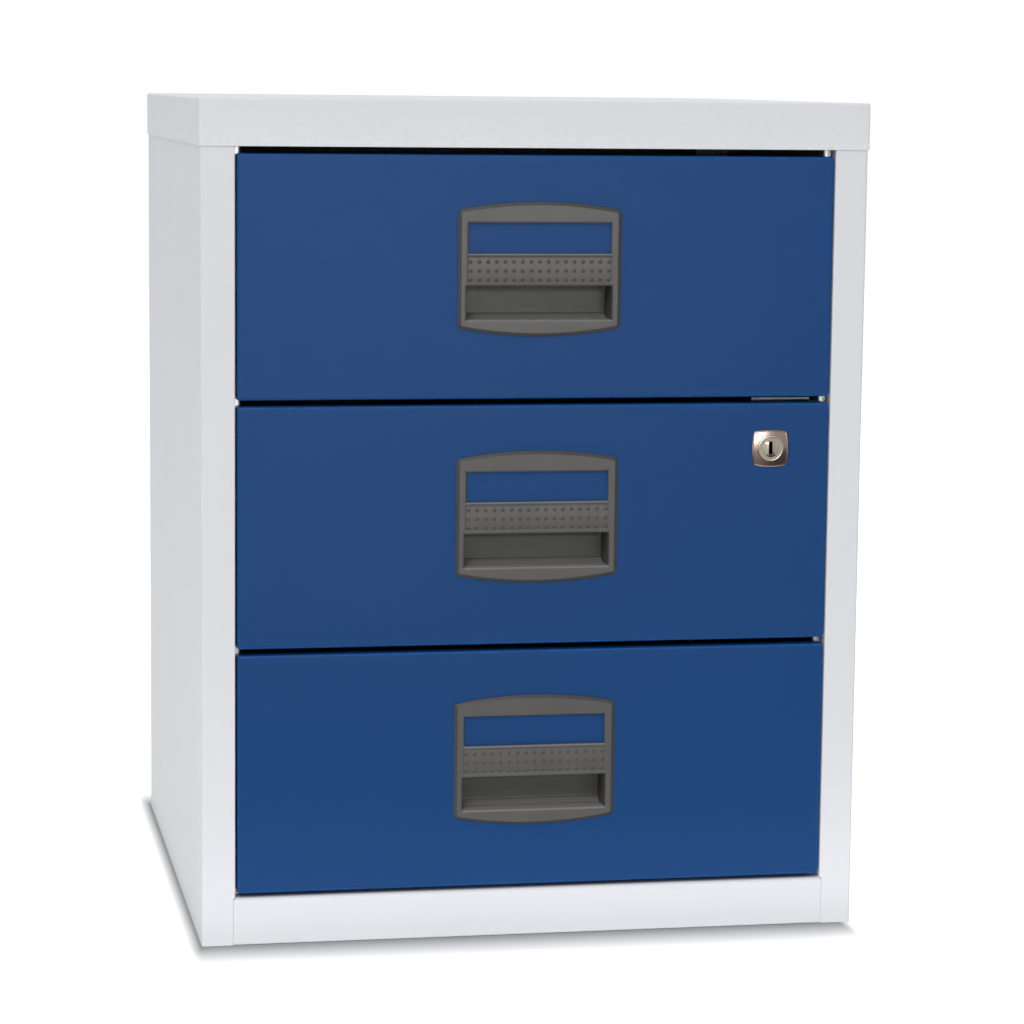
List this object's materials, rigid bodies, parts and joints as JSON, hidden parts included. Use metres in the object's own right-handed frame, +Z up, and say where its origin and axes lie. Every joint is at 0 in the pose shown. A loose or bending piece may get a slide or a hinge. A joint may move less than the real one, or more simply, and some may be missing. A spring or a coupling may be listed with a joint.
{
  "type": "drawer cabinet",
  "caption": "Free-standing steel drawer cabinet with a light grey shell, blue lockable drawers on ball runners, moulded recessed handles with label windows and a cam lock.",
  "frame": {"origin": "centre of the box's bottom face, on the floor under the middle of the cabinet", "axes": "+Z up, -Y towards the drawer fronts, +X to the right of someone facing them"},
  "size_m": [0.413, 0.4018, 0.516],
  "materials": {
    "carcass_paint": "fine-textured satin powder coat, light grey",
    "drawer_paint": "fine-textured satin powder coat, blue",
    "tray_paint": "satin powder coat, light grey",
    "zinc_plate": "bright zinc-plated sheet steel",
    "handle_plastic": "fine-grained moulded plastic, warm grey",
    "lock_chrome": "satin nickel-chrome plating",
    "ball_steel": "polished hardened steel",
    "guide_plastic": "natural white moulded plastic"
  },
  "bodies": {
    "cabinet": {"top_lid": "carcass_paint", "left_side_panel": "carcass_paint", "right_side_panel": "carcass_paint", "back_panel": "carcass_paint", "base_and_plinth": "carcass_paint", "left_front_upright": "zinc_plate", "left_rear_upright": "zinc_plate", "right_front_upright": "zinc_plate", "right_rear_upright": "zinc_plate", "upright_rivets": "zinc_plate", "locking_bar_guides": "guide_plastic", "top_left_outer_runner": "zinc_plate", "top_right_outer_runner": "zinc_plate", "middle_left_outer_runner": "zinc_plate", "middle_right_outer_runner": "zinc_plate", "bottom_left_outer_runner": "zinc_plate", "bottom_right_outer_runner": "zinc_plate"},
    "top_drawer": {"top_drawer_front": "drawer_paint", "top_drawer_tray": "tray_paint", "top_drawer_handle": "handle_plastic", "top_tray_rivets": "zinc_plate", "top_lock_catch": "zinc_plate", "top_left_inner_runner": "zinc_plate", "top_right_inner_runner": "zinc_plate"},
    "top_ball_cages": {"top_left_ball_cage": "zinc_plate", "top_right_ball_cage": "zinc_plate", "top_runner_balls": "ball_steel"},
    "middle_drawer": {"middle_drawer_front": "drawer_paint", "middle_drawer_tray": "tray_paint", "middle_drawer_handle": "handle_plastic", "middle_tray_rivets": "zinc_plate", "middle_lock_catch": "zinc_plate", "middle_left_inner_runner": "zinc_plate", "middle_right_inner_runner": "zinc_plate", "lock_escutcheon": "lock_chrome", "lock_housing": "lock_chrome", "lock_nut": "zinc_plate"},
    "middle_ball_cages": {"middle_left_ball_cage": "zinc_plate", "middle_right_ball_cage": "zinc_plate", "middle_runner_balls": "ball_steel"},
    "bottom_drawer": {"bottom_drawer_front": "drawer_paint", "bottom_drawer_tray": "tray_paint", "bottom_drawer_handle": "handle_plastic", "bottom_tray_rivets": "zinc_plate", "bottom_lock_catch": "zinc_plate", "bottom_left_inner_runner": "zinc_plate", "bottom_right_inner_runner": "zinc_plate"},
    "bottom_ball_cages": {"bottom_left_ball_cage": "zinc_plate", "bottom_right_ball_cage": "zinc_plate", "bottom_runner_balls": "ball_steel"},
    "lock_core": {"lock_plug": "lock_chrome", "lock_cam": "zinc_plate", "cam_screw": "zinc_plate"},
    "locking_bar": {"locking_bar": "zinc_plate"}
  },
  "joints": [
    {"name": "top_drawer_slide", "type": "slide", "parent": "cabinet", "child": "top_drawer", "axis": [0, -1, 0], "range_m": [0, 0.25]},
    {"name": "top_cage_slide", "type": "slide", "parent": "cabinet", "child": "top_ball_cages", "axis": [0, -1, 0], "range_m": [0, 0.125]},
    {"name": "middle_drawer_slide", "type": "slide", "parent": "cabinet", "child": "middle_drawer", "axis": [0, -1, 0], "range_m": [0, 0.25]},
    {"name": "middle_cage_slide", "type": "slide", "parent": "cabinet", "child": "middle_ball_cages", "axis": [0, -1, 0], "range_m": [0, 0.125]},
    {"name": "bottom_drawer_slide", "type": "slide", "parent": "cabinet", "child": "bottom_drawer", "axis": [0, -1, 0], "range_m": [0, 0.25]},
    {"name": "bottom_cage_slide", "type": "slide", "parent": "cabinet", "child": "bottom_ball_cages", "axis": [0, -1, 0], "range_m": [0, 0.125]},
    {"name": "lock_turn", "type": "hinge", "parent": "middle_drawer", "child": "lock_core", "pos_m": [0.1469, -0.1983, 0.3032], "axis": [0, -1, 0], "range_deg": [0, 90]},
    {"name": "locking_bar_lift", "type": "slide", "parent": "cabinet", "child": "locking_bar", "axis": [0, 0, 1], "range_m": [0, 0.01273]}
  ],
  "couplings": [
    {"joint": "top_cage_slide", "follows": "top_drawer_slide", "ratio": 0.5},
    {"joint": "middle_cage_slide", "follows": "middle_drawer_slide", "ratio": 0.5},
    {"joint": "bottom_cage_slide", "follows": "bottom_drawer_slide", "ratio": 0.5},
    {"joint": "lock_turn", "follows": "locking_bar_lift", "rad_per_m": 123.41}
  ]
}
